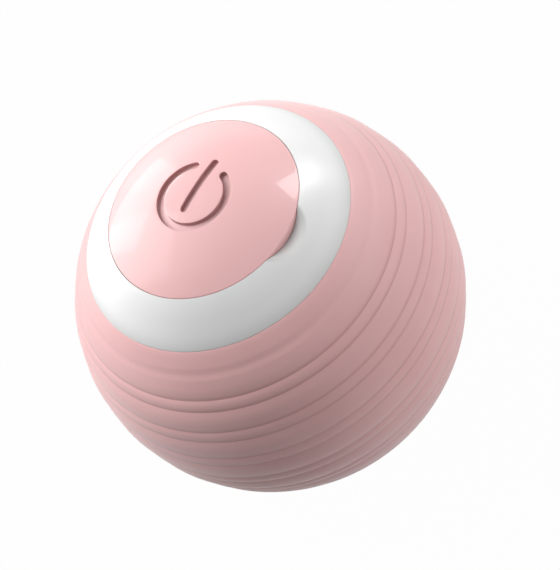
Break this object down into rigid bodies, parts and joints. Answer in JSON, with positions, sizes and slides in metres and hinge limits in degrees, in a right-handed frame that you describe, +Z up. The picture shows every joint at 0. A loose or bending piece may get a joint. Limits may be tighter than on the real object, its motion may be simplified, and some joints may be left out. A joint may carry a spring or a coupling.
{
  "type": "self rolling cat ball",
  "caption": "Motorised cat toy ball with a ribbed rubber sleeve, two pole discs, a lift-off power cap over a charging socket, and a geared weight inside.",
  "frame": {"origin": "the middle of the small flat on the lower disc, on the surface that the ball stands on", "axes": "+Z up along the roll axis, out through the disc with the power sign. +Y is the top of the power sign, and +X is the side of the fingernail scoop"},
  "size_m": [0.0428, 0.0428, 0.0429],
  "materials": {
    "pink_sleeve": "satin",
    "pink_disc": "satin",
    "white_shell": "satin",
    "grey_frame": "matte",
    "gear_nylon": "satin",
    "black_plastic": "matte",
    "board_green": "satin",
    "bright_steel": "satin",
    "brass": "satin",
    "cell_foil": "satin"
  },
  "bodies": {
    "shell": {"tread_sleeve": "pink_sleeve", "upper_shell": "white_shell", "lower_shell": "white_shell", "lower_disc": "pink_disc", "upper_bush": "gear_nylon", "sun_gear": "gear_nylon", "lower_axle": "bright_steel"},
    "carriage": {"port_housing": "white_shell", "circuit_board": "board_green", "usb_socket": "bright_steel", "usb_tongue": "black_plastic", "switch_case": "black_plastic", "control_chip": "black_plastic", "charge_led": "white_shell", "carriage_frame": "grey_frame", "frame_screw_1": "bright_steel", "frame_screw_2": "bright_steel", "frame_screw_3": "bright_steel", "motor_can": "bright_steel", "motor_cap": "black_plastic", "motor_tab_1": "brass", "motor_tab_2": "brass", "battery_cell": "cell_foil", "cell_tab_1": "brass", "cell_tab_2": "brass", "steel_weight": "bright_steel", "weight_screw": "bright_steel", "lower_bush": "brass", "gear_pin": "bright_steel"},
    "compound": {"compound_gear": "gear_nylon"},
    "pinion": {"motor_shaft": "bright_steel", "motor_pinion": "brass"},
    "cap": {"cap_plug": "white_shell", "cap_spring": "bright_steel"},
    "power": {"power_disc": "pink_disc"},
    "switch": {"switch_button": "grey_frame"}
  },
  "joints": [
    {"name": "carriage_spin", "type": "hinge", "parent": "shell", "child": "carriage", "pos_m": [0, 0, 0.02123], "axis": [0, 0, 1], "continuous": true},
    {"name": "compound_spin", "type": "hinge", "parent": "carriage", "child": "compound", "pos_m": [0.0072, 0, 0.01082], "axis": [0, 0, 1], "continuous": true},
    {"name": "pinion_spin", "type": "hinge", "parent": "carriage", "child": "pinion", "pos_m": [0.00342, 0.00565, 0.01082], "axis": [0, 0, 1], "continuous": true},
    {"name": "cap_lift", "type": "slide", "parent": "shell", "child": "cap", "axis": [0, 0, 1], "range_m": [0, 0.01]},
    {"name": "power_press", "type": "slide", "parent": "cap", "child": "power", "axis": [0, 0, 1], "range_m": [-0.0004, 0], "stiffness_N_per_m": 400, "springref_m": 0.0003},
    {"name": "switch_press", "type": "slide", "parent": "carriage", "child": "switch", "axis": [0, 0, 1], "range_m": [-0.0004, 0], "stiffness_N_per_m": 100, "springref_m": 0.0002}
  ],
  "couplings": [
    {"joint": "compound_spin", "follows": "carriage_spin", "ratio": 2},
    {"joint": "pinion_spin", "follows": "carriage_spin", "ratio": -4.8},
    {"joint": "switch_press", "follows": "power_press", "ratio": 1}
  ]
}
